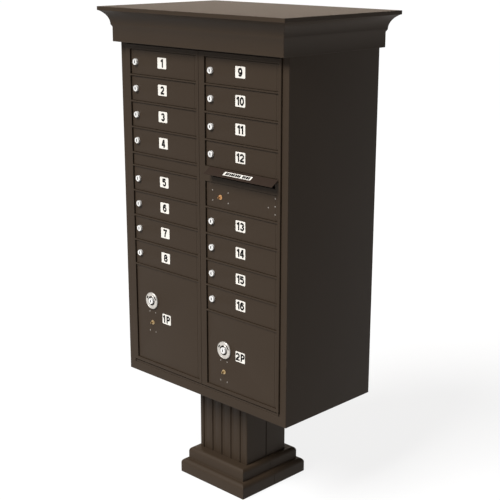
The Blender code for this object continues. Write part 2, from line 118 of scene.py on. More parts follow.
def ramp(tree, value, low, high, start=0.3, end=0.7):
    """Maps a 0..1 value onto two colours or two grey levels."""
    node = tree.nodes.new("ShaderNodeValToRGB")
    for stop, place, colour in zip(node.color_ramp.elements, (start, end), (low, high)):
        stop.position = place
        stop.color = (*colour, 1) if hasattr(colour, "__len__") else (colour, colour, colour, 1)
    tree.links.new(value, node.inputs["Fac"])
    return node.outputs["Color"]


def bump(tree, shader, height, strength, distance):
    node = tree.nodes.new("ShaderNodeBump")
    node.inputs["Strength"].default_value = strength
    node.inputs["Distance"].default_value = distance
    tree.links.new(height, node.inputs["Height"])
    tree.links.new(node.outputs["Normal"], shader.inputs["Normal"])


def coords(tree):
    return tree.nodes.new("ShaderNodeTexCoord").outputs["Object"]


def surface(name, dark, light, rough, metallic=0.0, patch=6.0, grain=900.0, grain_bump=0.25, specular=0.5):
    """Colour drifting between two tones, roughness drifting between two values, and a fine grain."""
    mat = bpy.data.materials.new(name)
    tree, shader = nodes_of(mat)
    at = coords(tree)
    broad = noise(tree, at, patch, 4.0)
    fine = noise(tree, at, grain, 2.0)
    tree.links.new(ramp(tree, broad, dark, light), shader.inputs["Base Color"])
    tree.links.new(ramp(tree, fine, rough[0], rough[1]), shader.inputs["Roughness"])
    shader.inputs["Metallic"].default_value = metallic
    shader.inputs["Specular IOR Level"].default_value = specular
    bump(tree, shader, fine, grain_bump, 0.0002)
    return mat


def spangle(name):
    """Galvanised sheet: angular crystals of slightly different grey."""
    mat = bpy.data.materials.new(name)
    tree, shader = nodes_of(mat)
    cells = tree.nodes.new("ShaderNodeTexVoronoi")
    cells.inputs["Scale"].default_value = 110.0
    tree.links.new(coords(tree), cells.inputs["Vector"])
    split = tree.nodes.new("ShaderNodeSeparateColor")
    tree.links.new(cells.outputs["Color"], split.inputs["Color"])
    tree.links.new(ramp(tree, split.outputs["Red"], (0.30, 0.31, 0.32), (0.42, 0.43, 0.43), 0, 1),
                   shader.inputs["Base Color"])
    tree.links.new(ramp(tree, split.outputs["Green"], 0.38, 0.55, 0, 1), shader.inputs["Roughness"])
    shader.inputs["Metallic"].default_value = 0.85
    bump(tree, shader, cells.outputs["Distance"], 0.08, 0.0003)
    return mat


BRONZE = surface("bronze_powder_coat", (0.0298, 0.0196, 0.0119), (0.0318, 0.0210, 0.0129), (0.50, 0.58),
                 patch=5.0, specular=0.14)
# painted shade: the bronze coat made darker and less glossy on the hood, to tone down the light its upturned
# slope catches
HOOD_SHADED_COAT = surface("hood_coat_painted_shade", (0.0238, 0.0152, 0.0109), (0.0256, 0.0165, 0.0119), (0.50, 0.58),
               patch=9.0, specular=0.07)
STEEL = spangle("galvanised_steel")
NICKEL = surface("bright_nickel", (0.80, 0.79, 0.77), (0.88, 0.87, 0.85), (0.22, 0.32), 0.55,
                 patch=60.0, grain=2200.0, grain_bump=0.06)
PLATE = surface("satin_plate", (0.46, 0.43, 0.39), (0.56, 0.53, 0.49), (0.30, 0.42), 0.45,
                patch=40.0, grain=1800.0, grain_bump=0.12)
BRASS = surface("brass", (0.36, 0.25, 0.12), (0.46, 0.33, 0.17), (0.30, 0.42), 0.6,
                patch=90.0, grain=2000.0, grain_bump=0.1)
COPPER = surface("copper_brass", (0.47, 0.25, 0.10), (0.56, 0.31, 0.14), (0.34, 0.46), 0.6,
                 patch=90.0, grain=2000.0, grain_bump=0.1)
RIVET = surface("aluminium_rivet", (0.20, 0.18, 0.16), (0.30, 0.27, 0.24), (0.35, 0.5), 0.5,
                patch=120.0, grain=2400.0, grain_bump=0.1)
VINYL = surface("label_vinyl", (0.63, 0.60, 0.548), (0.70, 0.665, 0.612), (0.42, 0.5),
                patch=30.0, grain=1500.0, grain_bump=0.05, specular=0.3)
INK = surface("label_ink", (0.003, 0.003, 0.003), (0.006, 0.0055, 0.005), (0.45, 0.55),
              patch=60.0, grain=1600.0, grain_bump=0.05, specular=0.05)
# painted shade: near-black that stands in for the shade in the keyways and in the lock plates' slots and well
SHADE = surface("keyway_shade", (0.012, 0.010, 0.009), (0.022, 0.019, 0.017), (0.7, 0.8),
                patch=200.0, grain=2000.0, grain_bump=0.1, specular=0.12)


def glowing(name, grey, glow):
    """Matt stage surface that adds its own light."""
    mat = surface(name, (grey - 0.005,) * 3, (grey + 0.005,) * 3, (0.7, 0.8),
                  patch=1.5, grain=300.0, grain_bump=0.05, specular=0.1)
    for socket, value in (("Emission Color", (1, 1, 1, 1)), ("Emission Strength", glow)):
        nodes_of(mat)[1].inputs[socket].default_value = value
    return mat


FLOOR = glowing("studio_floor", 0.13, 0.84)
BACKDROP = glowing("studio_backdrop", 0.20, 1.0)
BOUNCE = glowing("studio_bounce", 0.20, 0.68)


# ---------------------------------------------------------------- mesh tools
def mesh_of(name, bm):
    bmesh.ops.remove_doubles(bm, verts=bm.verts, dist=1e-7)
    bmesh.ops.recalc_face_normals(bm, faces=bm.faces)
    mesh = bpy.data.meshes.new(name)
    bm.to_mesh(mesh)
    bm.free()
    return mesh


def arc(cx, cy, rx, ry, a0, a1, count):
    turn = (radians(a0 + (a1 - a0) * k / count) for k in range(count + 1))
    return [(cx + rx * cos(a), cy + ry * sin(a)) for a in turn]


def add_box(bm, low, high):
    middle, size = (Vector(low) + Vector(high)) / 2, Vector(high) - Vector(low)
    matrix = Matrix.Translation(middle) @ Matrix.Diagonal((*size, 1))
    bmesh.ops.create_cube(bm, size=1.0, matrix=matrix)


def add_prism(bm, outline, low, high, lift):
    """Extrudes a closed outline between two levels; lift(p, level) gives the 3-D point."""
    a = [bm.verts.new(lift(p, low)) for p in outline]
    b = [bm.verts.new(lift(p, high)) for p in outline]
    bm.faces.new(a)
    bm.faces.new(b)
    for i in range(len(outline)):
        j = (i + 1) % len(outline)
        bm.faces.new((a[i], a[j], b[j], b[i]))


def along_x(p, t):
    return (t, p[0], p[1])


def along_y(p, t):
    return (p[0], t, p[1])


def along_z(p, t):
    return (p[0], p[1], t)


def add_lathe(bm, profile, segments, lift=along_y, at=(0, 0), closed=False):
    """Turns (radius, level) points round an axis. Open profiles close on the axis at both ends."""
    turns = [(cos(tau * k / segments), sin(tau * k / segments)) for k in range(segments)]
    rings = [[bm.verts.new(lift((at[0] + r * c, at[1] + r * s), h)) for c, s in turns] for r, h in profile]
    pairs = list(zip(rings, rings[1:])) + ([(rings[-1], rings[0])] if closed else [])
    for a, b in pairs:
        for k in range(segments):
            j = (k + 1) % segments
            bm.faces.new((a[k], a[j], b[j], b[k]))
    if not closed:
        bm.faces.new(rings[0])
        bm.faces.new(rings[-1])


def add_skin(bm, sections, closed_path):
    """Joins equal closed sections, all the way round or capped at both ends."""
    rows = [[bm.verts.new(p) for p in section] for section in sections]
    for k in range(len(rows) if closed_path else len(rows) - 1):
        a, b = rows[k], rows[(k + 1) % len(rows)]
        for i in range(len(a)):
            j = (i + 1) % len(a)
            bm.faces.new((a[i], a[j], b[j], b[i]))
    if not closed_path:
        bm.faces.new(rows[0])
        bm.faces.new(rows[-1])


def one(build, *args, **kwargs):
    bm = bmesh.new()
    build(bm, *args, **kwargs)
    return mesh_of("part", bm)


def carve(mesh, cutters, operation="DIFFERENCE"):
    """Boolean of a mesh with several others, applied."""
    scene = bpy.context.scene.collection
    work = bpy.data.objects.new("work", mesh)
    scene.objects.link(work)
    tools = []
    for cutter in cutters:
        tool = bpy.data.objects.new("tool", cutter)
        scene.objects.link(tool)
        mod = work.modifiers.new("cut", "BOOLEAN")
        mod.operation, mod.solver, mod.object = operation, "EXACT", tool
        tools.append(tool)
    result = bpy.data.meshes.new_from_object(work.evaluated_get(bpy.context.evaluated_depsgraph_get()))
    for spent in tools + [work]:
        bpy.data.objects.remove(spent)
    return result


def put(name, mesh, mat, body, at=(0, 0, 0), bevel=0.0, segments=2, stands_for=None):
    """Links a mesh as a piece on a body, shades it smooth and rounds its sharp edges."""
    if not mesh.materials:
        mesh.materials.append(mat)
    mesh.shade_smooth()
    mesh.set_sharp_from_angle(angle=radians(32))
    piece = bpy.data.objects.new(name, mesh)
    bpy.context.scene.collection.objects.link(piece)
    piece.location = at
    if bevel:
        mod = piece.modifiers.new("edges", "BEVEL")
        mod.width, mod.segments, mod.limit_method = bevel, segments, "ANGLE"
        mod.angle_limit, mod.harden_normals = radians(32), True
    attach(piece, body)
    if stands_for:
        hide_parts(stands_for)


def stand_in(node, mesh, mat, bevel=EDGE, segments=2, at=(0, 0, 0)):
    """The finished piece for a CAD node, on that node's body."""
    put(node + "_finish", mesh, mat, NODES[node]["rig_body"], at, bevel, segments, node)


# ---------------------------------------------------------------- crown, column and base
def crown():
    """Fascia, short slope, wide cove and square lip, swept round the cabinet top with mitred corners."""
    low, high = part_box("crown_moulding")
    lip, lip_h, rim, rebate = 0.0355, 0.0130, 0.016, 0.0035   # lip: overhang, height, width, rebate
    fascia, slope, cove = 0.0490, (0.0046, 0.0570), 0.0517    # fascia height, top of the slope, cove radius
    wall, shelf, shelf_t = 0.004, 0.070, 0.0045               # moulding, and its ledge on the cabinet
    rebate_in, under, wall_h = 0.024, (0.030, 0.019), 0.060   # hidden side: rebate, its underside, upright
    x, y, z, top = high.x - lip, high.y - lip, low.z, high.z
    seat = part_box("cabinet_shell")[1].z
    outer = [(0, z), (0, z + fascia)] + arc(cove + slope[0], z + slope[1], cove, cove, 180, 116, 24)
    outer += [(lip, top - lip_h), (lip, top)]
    inner = [(lip - rim, top), (lip - rim, top - rebate), (lip - rebate_in, top - rebate),
             (lip - under[0], top - under[1]), (-wall, z + wall_h), (-wall, seat + shelf_t),
             (-shelf, seat + shelf_t), (-shelf, seat + TOUCH), (-wall, seat + TOUCH), (-wall, z)]
    corners = ((-1, -1), (1, -1), (1, 1), (-1, 1))
    rings = [[(sx * (x + o), sy * (y + o), h) for o, h in outer + inner] for sx, sy in corners]
    stand_in("crown_moulding", one(add_skin, rings, True), BRONZE, 0.0009)
    low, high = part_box("cap_panel")
    stand_in("cap_panel", one(add_box, low, high), BRONZE, 0.0012)


def column():
    """Two fluted half shells: five square flutes with eased edges on the front and rear faces."""
    flutes, flute, pitch, sink, ease = 5, 0.0188, 0.0461, 0.0035, 0.0012
    corner, face_t, seam_gap = 0.003, 0.0065, 0.0014     # edge radius, fluted face, half of the open seam
    for side, node in ((-1, "column_cover_front"), (1, "column_cover_rear")):
        low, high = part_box(node)
        seam = high.y if side < 0 else low.y
        half, depth = high.x, high.y - low.y
        outline = [(-half, seam_gap), *arc(corner - half, depth - corner, corner, corner, 180, 90, 5)]
        for k in range(flutes):
            c = (k - flutes // 2) * pitch
            outline += arc(c - flute / 2 - ease, depth - ease, ease, ease, 90, 0, 3)
            outline += [(c - flute / 2, depth - sink), (c + flute / 2, depth - sink)]
            outline += arc(c + flute / 2 + ease, depth - ease, ease, ease, 180, 90, 3)
        outline += [*arc(half - corner, depth - corner, corner, corner, 90, 0, 5), (half, seam_gap),
                    (half - WALL, seam_gap), (half - WALL, depth - face_t),
                    (WALL - half, depth - face_t), (WALL - half, seam_gap)]
        points = [(px, seam + side * py) for px, py in outline]
        stand_in(node, one(add_prism, points, low.z, high.z, along_z), BRONZE, 0.0004, 1)


def base():
    """Front and rear halves of a two-tier plinth with quarter-round shoulders."""
    low_edge, low_rise = 0.0350, 0.0175          # where the lower tier's shoulder starts, and its rise
    up_foot, up_edge, round_r = 0.0531, 0.0805, 0.015   # upper tier: foot, start and radius of its shoulder
    step, wall, collar, under = 0.0205, 0.004, 0.006, 0.020
    waist = (0.030, 0.026)                       # hidden side: heights where the upper tier meets the lower
    col_x, col_y = 0.1185, 0.0988                # opening round the column
    for side, node in ((-1, "base_moulding_front"), (1, "base_moulding_rear")):
        low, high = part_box(node)
        seam = high.y if side < 0 else low.y
        centre = seam - side * TOUCH
        wide, tier, top = high.x, high.x - step, high.z
        outer = [(wide, 0.0)] + arc(tier + 0.001, low_edge, step - 0.001, low_rise, 0, 84, 12)
        outer += [(tier, up_foot)] + arc(tier - round_r, up_edge, round_r, top - up_edge, 0, 90, 12)
        profile = [(o, o, z) for o, z in outer]
        profile += [(col_x, col_y, top), (col_x, col_y, top - collar)]
        profile += [(o - wall, o - wall, z) for o, z in
                    ((tier, top - under), (tier, waist[0]), (wide, waist[1]), (wide, 0.0))]
        ends = ((-1, 0), (-1, 1), (1, 1), (1, 0))
        rings = [[(sx * hx, centre + side * (hy if full else TOUCH), z) for hx, hy, z in profile]
                 for sx, full in ends]
        stand_in(node, one(add_skin, rings, False), BRONZE, 0.0010)


# ---------------------------------------------------------------- cabinet
def cabinet():
    """Folded body: rounded vertical corners, flange round the front opening, crease below the doors."""
    low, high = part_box("cabinet_shell")
    left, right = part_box("master_door_left"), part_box("master_door_right")
    fold_r, crease_down, crease_w, crease_d = 0.0012, 0.0080, 0.0013, 0.0012
    opening = (left[0].x - SIDE_GAP, right[1].x + SIDE_GAP, left[0].z - LOW_GAP, left[1].z + TOP_GAP)

    def ring(x0, x1, z0, z1, y):
        return [(x0, y, z0), (x1, y, z0), (x1, y, z1), (x0, y, z1)]
    inner = (low.x + WALL, high.x - WALL, low.z + WALL, high.z - WALL)
    outer = (low.x, high.x, low.z, high.z)
    bm = bmesh.new()
    add_skin(bm, [ring(*outer, high.y), ring(*outer, low.y),
                  ring(*opening, low.y), ring(*opening, low.y + WALL),
                  ring(*inner, low.y + WALL), ring(*inner, high.y - WALL)], False)
    corners = [e for e in bm.edges
               if all(abs(abs(v.co.x) - high.x) < 1e-6 for v in e.verts)
               and len({round(v.co.y, 4) for v in e.verts}) == 1]
    bmesh.ops.bevel(bm, geom=corners, offset=fold_r, segments=5, profile=0.5, affect="EDGES")
    sill = opening[2] - crease_down
    crease = one(add_box, (opening[0], low.y - WALL, sill), (opening[1], low.y + crease_d, sill + crease_w))
    stand_in("cabinet_shell", carve(mesh_of("shell", bm), [crease]), BRONZE, 0.0005)


def master(side):
    """Door frame with eased edges; the right one closes the slot row with its own sheet."""
    node = "master_door_" + side
    low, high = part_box(node)
    fold_r, slot_x, slot_down = 0.0018, (0.062, 0.338), (0.0285, 0.0075)   # mail slot's ends and edges
    doors = sorted(n for n in NODES if n.startswith(ROW_NODES) and low.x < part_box(n)[0].x < high.x)
    cells = []
    for n in doors:
        a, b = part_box(n)
        cells.append((a.x - STILE_GAP, high.x - STILE_R, a.z - ROW_GAP, b.z + ROW_GAP))
    if side == "left":
        a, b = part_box("blank_panel")
        cells.append((cells[0][0], high.x - STILE_R, a.z + RAIL / 2 - TOUCH, b.z - RAIL / 2 + TOUCH))
    else:
        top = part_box("mail_hood")[1].z - RAIL / 2
        cells.append((low.x + slot_x[0], low.x + slot_x[1], top - slot_down[0], top - slot_down[1]))
    bm = bmesh.new()
    for x0, x1, z0, z1 in cells:
        add_box(bm, (x0, low.y - PAST, z0), (x1, high.y + PAST, z1))
    rod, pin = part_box("door_rod_" + side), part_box("hinge_rod_" + side)
    cutters = [mesh_of("cells", bm)]
    for (a, b), radius in ((rod, ROD_BORE), (pin, PIN_BORE)):
        at = ((a.x + b.x) / 2, (a.y + b.y) / 2)
        cutters.append(one(add_lathe, [(radius, low.z - PAST), (radius, high.z + PAST)], 24, along_z, at))
    flip = -1 if side == "left" else 1
    hinge, free = (low.x, high.x) if side == "left" else (high.x, low.x)
    outline = [(hinge - flip * (fold_r - px), low.y + fold_r - py)
               for px, py in arc(0, 0, fold_r, fold_r, 0, 90, 6)]
    outline += [(free, low.y), (free, high.y), (hinge, high.y)]
    slab = one(add_prism, outline, low.z, high.z, along_z)
    stand_in(node, carve(slab, cutters), BRONZE, EDGE)


def hinge_rods():
    """Rod of each master door; its end knuckles are cut flat where they lie on the flange."""
    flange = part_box("cabinet_shell")[0].y - TOUCH
    ease, low_end = 0.0006, 0.0040               # knuckle's end chamfer, and how far it laps the flange
    under, over, cone = 0.0012, 0.0002, 0.0004   # gap below the door, bare pin above it, cone to the knuckle
    lap_low, lap_high = 0.0006, 0.0004           # how far each flat runs past the flange's edge
    for side in ("left", "right"):
        node = "hinge_rod_" + side
        (a, b), (low, high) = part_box(node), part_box("master_door_" + side)
        knuckle = (b.x - a.x) / 2
        at = ((a.x + b.x) / 2, a.y + knuckle)
        sill, head = low.z - LOW_GAP, high.z + TOP_GAP
        foot = sill - low_end
        profile = [(PIN_R, foot), (knuckle - ease, foot), (knuckle, foot + ease), (knuckle, low.z - under),
                   (PIN_R, low.z - under + cone), (PIN_R, high.z + over),
                   (knuckle, high.z + over + cone), (knuckle, b.z)]
        rod = one(add_lathe, profile, 32, along_z, at)
        flats = [one(add_box, (a.x - PAST, flange, z0), (b.x + PAST, b.y + PAST, z1))
                 for z0, z1 in ((a.z - PAST, sill + lap_low), (head - lap_high, b.z + PAST))]
        stand_in(node, carve(rod, flats), BRONZE, 0)


# ---------------------------------------------------------------- small doors
def door_blank(width, thick, height):
    """Door round its own hinge axis: sheet with a fine groove beside the rolled hinge edge, hollow behind."""
    r, ease = thick / 2, 0.0009
    left = r - width
    outline = arc(left + ease, -r + ease, ease, ease, 180, 270, 3)
    # groove, 0.7 mm deep, where the sheet meets the rolled edge
    outline += [(-r - 0.0012, -r), (-r - 0.0009, -r + 0.0007), (-r - 0.0003, -r + 0.0007),
                (-r + 0.0004, -r + 0.0003)]
    outline += arc(0, 0, r, r, -110, 90, 20) + [(left, r)]
    slab = one(add_prism, outline, -height / 2, height / 2, along_z)
    pocket = one(add_box, (left + RIM, -r + SKIN, -height / 2 + RIM),
                 (-r - 0.001, r + PAST, height / 2 - RIM))
    bore = one(add_lathe, [(ROD_BORE, -height), (ROD_BORE, height)], 24, along_z)
    return slab, [pocket, bore]


def cylinder(radius, x, z):
    return one(add_lathe, [(radius, -0.02), (radius, 0.02)], 32, along_y, (x, z))


def axis_point(node):
    """World point on a small door's hinge axis, at mid height."""
    low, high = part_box(node)
    return Vector((high.x - (high.y - low.y) / 2, (low.y + high.y) / 2, (low.z + high.z) / 2))


def door_mesh(node, holes):
    """Door mesh with its lock holes given as (world x, world z, radius)."""
    low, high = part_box(node)
    at = axis_point(node)
    slab, cutters = door_blank(high.x - low.x, high.y - low.y, high.z - low.z)
    return carve(slab, cutters + [cylinder(r, x - at.x, z - at.z) for x, z, r in holes])


def label(door, number):
    """White vinyl square with a dark number."""
    low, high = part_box(door)
    body = NODES[door]["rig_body"]
    x = low.x + LABEL_X["left" if low.x < 0 else "right"]
    z = (low.z + high.z) / 2 + LABEL_UP
    if number.endswith("P"):
        x, z = x + PARCEL_LABEL[0], z + PARCEL_LABEL[1]
    put("label_" + number, LABEL_MESH, VINYL, body, (x, low.y, z))
    x += PARCEL_SHIFT.get(number, 0)
    put("number_" + number, digits(number), INK, body, (x, low.y - LABEL_T, z))


def rounded_rect(w, h, r, count=5):
    points = []
    for cx, cy, a in ((w / 2 - r, h / 2 - r, 0), (r - w / 2, h / 2 - r, 90),
                      (r - w / 2, r - h / 2, 180), (w / 2 - r, r - h / 2, 270)):
        points += arc(cx, cy, r, r, a, a + 90, count)
    return points


LABEL_MESH = one(add_prism, rounded_rect(LABEL_W, LABEL_H, LABEL_R), -LABEL_T, 0, along_y)


def ribbon(points, closed):
    """Flat stroke of even width along a centre line, in units of the digit height."""
    sections = []
    for i, p in enumerate(points):
        before = points[i - 1] if closed or i else p
        after = points[(i + 1) % len(points)] if closed or i < len(points) - 1 else p
        runs = [Vector(b) - Vector(a) for a, b in ((before, p), (p, after)) if a != b]
        runs = [run.normalized() for run in runs]
        along = sum(runs, Vector((0, 0))).normalized()
        across = Vector((-along.y, along.x)) * DIGIT_PEN / 2 / along.dot(runs[0])
        sections.append([(p[0] + k * across.x, y, p[1] + k * across.y)
                         for k, y in ((-1, 0), (1, 0), (1, -DIGIT_T), (-1, -DIGIT_T))])
    return one(add_skin, sections, closed)


def strokes(digit):
    """Centre lines of a digit one unit tall round its own centre, as (points, closed)."""
    w, h = (DIGIT_W - DIGIT_PEN) / 2, (1 - DIGIT_PEN) / 2     # half size of the centre lines
    if digit == "0":
        return [(arc(0, 0, w, h, 0, 348, 28), True)]
    if digit == "1":
        stem = (ONE_W - DIGIT_PEN) / 2
        return [([(stem, -0.5), (stem, 0.5)], False),
                ([(-stem - 0.08, 0.23), (-0.02, 0.29), (stem - 0.02, 0.43)], False)]
    if digit == "2":
        return [(arc(0, h - 0.23, w, 0.23, 172, -30, 14) + [(-w, 0.03 - h)], False),
                ([(-w - 0.09, -h), (w + 0.09, -h)], False)]
    if digit == "3":
        return [(arc(0, h - 0.205, w - 0.02, 0.205, 165, -90, 12), False),
                (arc(0, 0.205 - h + 0.01, w, 0.215, 90, -165, 12), False)]
    if digit == "4":
        return [([(0.06, 0.46), (-w, -0.17)], False), ([(-w - 0.09, -0.20), (w + 0.09, -0.20)], False),
                ([(0.12, 0.5), (0.12, -0.5)], False)]
    if digit == "5":
        return [([(0.03 - w, h), (w + 0.03, h)], False), ([(0.05 - w, 0.48), (-w, 0.0)], False),
                (arc(0, 0.255 - h, w, 0.255, 140, -158, 14), False)]
    if digit == "6":
        return [(arc(0, 0.25 - h, w, 0.25, 0, 345, 20), True),
                ([(-w, 0.25 - h)] + arc(0.02, h - 0.38, w + 0.02, 0.38, 180, 40, 12), False)]
    if digit == "7":
        return [([(-w - 0.09, h), (w + 0.09, h)], False), ([(w, h), (0.02, 0.0), (-0.08, -0.5)], False)]
    if digit == "8":
        return [(arc(0, h - 0.195, w - 0.04, 0.195, 0, 342, 20), True),
                (arc(0, 0.215 - h, w, 0.215, 0, 342, 20), True)]
    if digit == "9":
        return [([(-x, -z) for x, z in line], closed) for line, closed in strokes("6")]
    side = (P_W - DIGIT_PEN) / 2
    return [([(-side, 0.5), (-side, -0.5)], False),
            ([(-side, h)] + arc(side - 0.22, h - 0.22, 0.22, 0.22, 90, -90, 10) + [(-side, h - 0.44)], False)]


def glyph(digit):
    lines = [ribbon(line, closed) for line, closed in strokes(digit)]
    return carve(lines[0], lines[1:], "UNION") if len(lines) > 1 else lines[0]


GLYPHS = {digit: glyph(digit) for digit in "0123456789P"}


def digits(text):
    """Number centred on its own origin, standing in the X-Z plane."""
    widths = [{"1": ONE_W, "P": P_W}.get(digit, DIGIT_W) for digit in text]
    space = PARCEL_SPACE.get(text, DIGIT_SPACE)
    edge = -(sum(widths) + space * (len(text) - 1)) / 2
    bm = bmesh.new()
    for digit, width in zip(text, widths):
        part = GLYPHS[digit].copy()
        part.transform(Matrix.Translation((edge + width / 2, 0, 0)))
        bm.from_mesh(part)
        edge += width + space
    for v in bm.verts:
        v.co = (v.co.x * DIGIT_H, v.co.y, v.co.z * DIGIT_H)
    return mesh_of("digits", bm)


RIVET_DOME = [(RIVET_R, 0)] + arc(0, -RIVET_RISE / 4, RIVET_R, -RIVET_RISE * 3 / 4, 0, 86, 6)
RIVET_MESH = one(add_lathe, RIVET_DOME, 20)


def rivet(name, body, x, y, z):
    """Low domed rivet head."""
    put(name, RIVET_MESH, RIVET, body, (x, y, z))


# ---------------------------------------------------------------- locks
def keyway(width, height, depth, face):
    """Cutter for a keyway with round ends, and the outline of the strip of painted shade at its bottom."""
    outline = rounded_rect(width, height, width / 2 - 0.0001, 4)
    cut = one(add_prism, outline, face - PAST, face + depth, along_y)
    return cut, [(x * 0.98, z * 0.99) for x, z in outline]


def blade(bm, length, width, y, thick, up):
    """Cam: flat bar with a round end, hanging down from the axis or pointing up."""
    half = width / 2
    outline = [(-half, half), (-half, half - length)] + arc(0, half - length, half, half, 180, 360, 12)[1:]
    outline += [(half, half)]
    sign = -1 if up else 1
    add_prism(bm, [(px, sign * pz) for px, pz in outline], y, y + thick, along_y)


def lock(node, mat, head, neck, ring, proud, cam, key, up=False):
    """Cylinder lock round its own axis, with a stepped bright face, a keyway lined at its bottom with painted
    shade, and its cam behind.
    """
    low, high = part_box(node)
    reach = high.y - low.y - proud               # rear end of the lock behind the door's face
    end_r, dome, cam_t, key_depth = 0.0001, proud * 0.12, 0.002, 0.0030
    profile = [(end_r, -proud), (ring - 0.0003, -proud), (ring, -proud + dome), (ring + 0.0004, -proud),
               (head - 0.0013, -proud + 0.0001), (head - 0.0004, -proud + 0.0005), (head, -proud + 0.0014),
               (head, -0.0004), (neck, -TOUCH), (neck, reach - 0.0012), (neck - 0.0008, reach - 0.0004),
               (end_r, reach - 0.0004)]
    cut, strip = keyway(*key, key_depth, -proud)
    bm = bmesh.new()
    bm.from_mesh(carve(one(add_lathe, profile, 48), [cut]))
    blade(bm, *cam, reach - 0.0035, cam_t, up)
    add_lathe(bm, [(neck * 0.62, reach - 0.0016), (neck * 0.62, reach), (neck * 0.4, reach)], 6)
    bright = len(bm.faces)
    # painted shade: a near-black strip at the keyway's bottom stands in for the shade down in the hole
    add_prism(bm, strip, -proud + 0.0012, -proud + key_depth - 0.0001, along_y)
    bm.faces.ensure_lookup_table()
    for face in bm.faces[bright:]:
        face.material_index = 1
    mesh = mesh_of("lock", bm)
    mesh.materials.append(mat)
    mesh.materials.append(SHADE)
    return mesh


def nut(name, body, x, face, z):
    """Hexagon nut behind the sheet of a door whose face is at this y."""
    ease, edge = 0.0006, 0.0005
    profile = [(NUT_HOLE, 0), (NUT_R - ease, 0), (NUT_R, edge), (NUT_R, NUT_T - edge),
               (NUT_R - ease, NUT_T), (NUT_HOLE, NUT_T)]
    mesh = one(add_lathe, profile, 6, along_y, (0, 0), True)
    put(name, mesh, STEEL, body, (x, face + SKIN + NUT_GAP, z), 0.0002, 1)


def carrier_axis(small):
    """World x and z of a carrier lock's axis."""
    low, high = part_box(small)
    return (low.x + high.x) / 2, high.z - CARRIER_AXIS_DOWN


def carrier_lock(small, body, at, mat):
    """Small flush lock of the carrier and its nut; its axis meets the door's face at this point."""
    stand_in(small, lock(small, mat, **CARRIER_LOCK), mat, 0, at=at)
    nut(small.replace("lock", "nut"), body, *at)


def tenant_doors():
    lock_mesh = lock("tenant_lock_01", NICKEL, **TENANT_LOCK)
    panels = {}
    for door in sorted(n for n in NODES if n.startswith("tenant_door")):
        node, body = door.replace("door", "lock"), NODES[door]["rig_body"]
        at, (low, high) = axis_point(door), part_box(node)
        lock_x, face = (low.x + high.x) / 2, low.y + TENANT_LOCK["proud"]
        column = at.x < 0
        if column not in panels:
            panels[column] = door_mesh(door, [(lock_x, at.z, LOCK_HOLE)])
        stand_in(door, panels[column], BRONZE, EDGE, at=at)
        stand_in(node, lock_mesh, NICKEL, 0, at=(lock_x, face, at.z))
        number = door[-2:].lstrip("0")
        nut("lock_nut_" + number, body, lock_x, face, at.z)
        label(door, number)


def parcel_doors():
    beside, above, up = 0.0155, 0.036, 0.003     # the four rivets round the carrier lock
    for n in ("1", "2"):
        door, plate = "parcel_door_" + n, "lock_plate_" + n
        main, small = "parcel_lock_" + n, "carrier_lock_" + n
        at, face = axis_point(door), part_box(door)[0].y
        body = NODES[door]["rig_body"]
        a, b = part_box(plate)
        px, pz = (a.x + b.x) / 2, (a.z + b.z) / 2
        cx, cz = carrier_axis(small)
        holes = [(px, pz, PLATE_HOLE), (cx, cz, LOCK_HOLE)]
        stand_in(door, door_mesh(door, holes), BRONZE, at=at)
        stand_in(plate, plate_mesh(), PLATE, 0.0003, at=(px, face, pz))
        stand_in(main, lock(main, NICKEL, **PARCEL_LOCK, up=True), NICKEL, 0, at=(px, face, pz))
        carrier_lock(small, body, (cx, face, cz), BRASS)
        for k, (dx, dz) in enumerate(((-1, -1), (1, -1), (-1, 1), (1, 1))):
            rivet(f"parcel_rivet_{n}_{k}", body, cx + dx * beside, face, cz + up + dz * above)
        label(door, n + "P")


def plate_mesh():
    """Round lock plate: rolled rim, two short slots and a deep well round the plug, both coloured with
    painted shade.
    """
    R, hole, face, well = PLATE_R, PLATE_HOLE, PLATE_FACE, PLATE_WELL
    edge, rim, rim_h, sink, deep = -0.0036, 0.0026, 0.0024, 0.0008, 0.0045
    profile = [(hole, -TOUCH), (R, -TOUCH), (R, edge)]
    profile += arc(R - rim, edge, rim, rim_h, 0, -90, 8)[1:]
    profile += [(R - 0.0034, face + 0.0004), (R - 0.0040, face + sink), (well + 0.0022, face + sink),
                (well + 0.0016, face + 0.0002), (well + 0.0006, face + 0.0002),
                (well + 0.0002, face + 0.0010), (well, face + deep), (hole, face + deep)]
    cutters = []
    for start, sweep in ((15, 38), (142, 26)):
        outer = arc(0, 0, SLOT_OUT, SLOT_OUT, start, start + sweep, 8)
        inner = arc(0, 0, SLOT_IN, SLOT_IN, start + sweep, start, 8)
        cutters.append(one(add_prism, outer + inner, face - 0.002, face + 0.0050, along_y))
    mesh = carve(one(add_lathe, profile, 72, along_y, (0, 0), True), cutters)
    mesh.materials.append(PLATE)
    mesh.materials.append(SHADE)
    # painted shade: the well round the plug and the slots' walls and bottoms take the near-black shade
    # material
    for polygon in mesh.polygons:
        x, y, z = polygon.center
        out = (x * x + z * z) ** 0.5
        in_slot = SLOT_IN - 0.0002 < out < SLOT_OUT + 0.0002 and y > face + 0.0012
        polygon.material_index = int(y < -0.0004 and (out < well + 0.0001 or in_slot))
    return mesh


def outgoing():
    door, small = "outgoing_door", "carrier_lock_3"
    beside, above, down = 0.036, 0.017, 0.0015   # four rivets round the lock
    row_x, row, single = 0.306, (0.0300, 0.0050, -0.0210), (0.277, -0.0025)   # and four near the hinge
    at, face = axis_point(door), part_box(door)[0].y
    body = NODES[door]["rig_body"]
    cx, cz = carrier_axis(small)
    stand_in(door, door_mesh(door, [(cx, cz, LOCK_HOLE)]), BRONZE, at=at)
    carrier_lock(small, body, (cx, face, cz), COPPER)
    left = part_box(door)[0].x
    places = [(cx - left + dx * beside, dz * above - down) for dx in (-1, 1) for dz in (-1, 1)]
    places += [(row_x, dz) for dz in row] + [single]
    for k, (x, dz) in enumerate(places):
        rivet(f"outgoing_rivet_{k}", body, left + x, face, at.z + dz)


